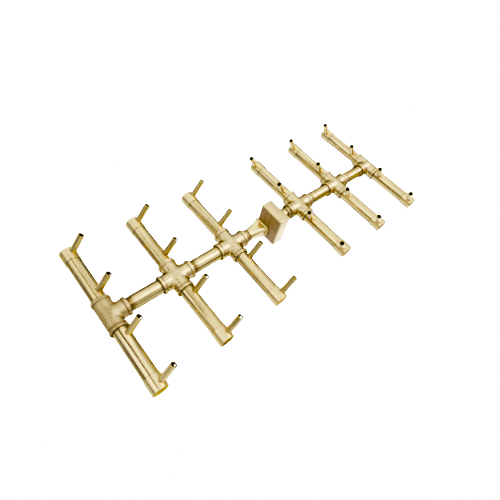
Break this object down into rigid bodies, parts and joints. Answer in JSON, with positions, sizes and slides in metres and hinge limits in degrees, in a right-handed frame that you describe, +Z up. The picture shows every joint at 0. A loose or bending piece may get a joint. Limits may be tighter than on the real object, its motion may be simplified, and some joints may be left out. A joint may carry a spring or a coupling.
{
  "type": "gas burner assembly",
  "caption": "Double-tree gas burner: a straight pipe spine with rows of capped arms across it, leaning open jet tubes on every arm and a rectangular hub block at the middle.",
  "frame": {"origin": "middle of the burner in plan, on the hub block's underside", "axes": "+X along the spine, +Y along the arms towards the back, +Z up"},
  "size_m": [0.5718, 0.2326, 0.058],
  "materials": {
    "pipe": "drawn and polished, fine lengthwise lines",
    "cast_fittings": "cast, tumbled, satin with machined bands",
    "end_caps": "turned and polished",
    "jets": "drawn tube, polished, heat tint at the mouth",
    "hub_adapter": "cast and linished",
    "hub_block": "machined, fine linear grain"
  },
  "bodies": {
    "root": {"tee_row1": "cast_fittings", "arm_row1_front": "pipe", "end_cap_row1_front": "end_caps", "jet_row1_front_inner": "jets", "jet_row1_front_outer": "jets", "arm_row1_back": "pipe", "end_cap_row1_back": "end_caps", "jet_row1_back_inner": "jets", "jet_row1_back_outer": "jets", "cross_row2": "cast_fittings", "arm_row2_front": "pipe", "end_cap_row2_front": "end_caps", "jet_row2_front_inner": "jets", "jet_row2_front_outer": "jets", "arm_row2_back": "pipe", "end_cap_row2_back": "end_caps", "jet_row2_back_inner": "jets", "jet_row2_back_outer": "jets", "cross_row3": "cast_fittings", "arm_row3_front": "pipe", "end_cap_row3_front": "end_caps", "jet_row3_front_inner": "jets", "jet_row3_front_outer": "jets", "arm_row3_back": "pipe", "end_cap_row3_back": "end_caps", "jet_row3_back_inner": "jets", "jet_row3_back_outer": "jets", "cross_row4": "cast_fittings", "arm_row4_front": "pipe", "end_cap_row4_front": "end_caps", "jet_row4_front_inner": "jets", "jet_row4_front_outer": "jets", "arm_row4_back": "pipe", "end_cap_row4_back": "end_caps", "jet_row4_back_inner": "jets", "jet_row4_back_outer": "jets", "cross_row5": "cast_fittings", "arm_row5_front": "pipe", "end_cap_row5_front": "end_caps", "jet_row5_front_inner": "jets", "jet_row5_front_outer": "jets", "arm_row5_back": "pipe", "end_cap_row5_back": "end_caps", "jet_row5_back_inner": "jets", "jet_row5_back_outer": "jets", "tee_row6": "cast_fittings", "arm_row6_front": "pipe", "end_cap_row6_front": "end_caps", "jet_row6_front_inner": "jets", "jet_row6_front_outer": "jets", "arm_row6_back": "pipe", "end_cap_row6_back": "end_caps", "jet_row6_back_inner": "jets", "jet_row6_back_outer": "jets", "spine_nipple_1_2": "pipe", "spine_nipple_2_3": "pipe", "spine_nipple_4_5": "pipe", "spine_nipple_5_6": "pipe", "hub_adapter_left": "hub_adapter", "hub_block": "hub_block"}
  },
  "joints": []
}
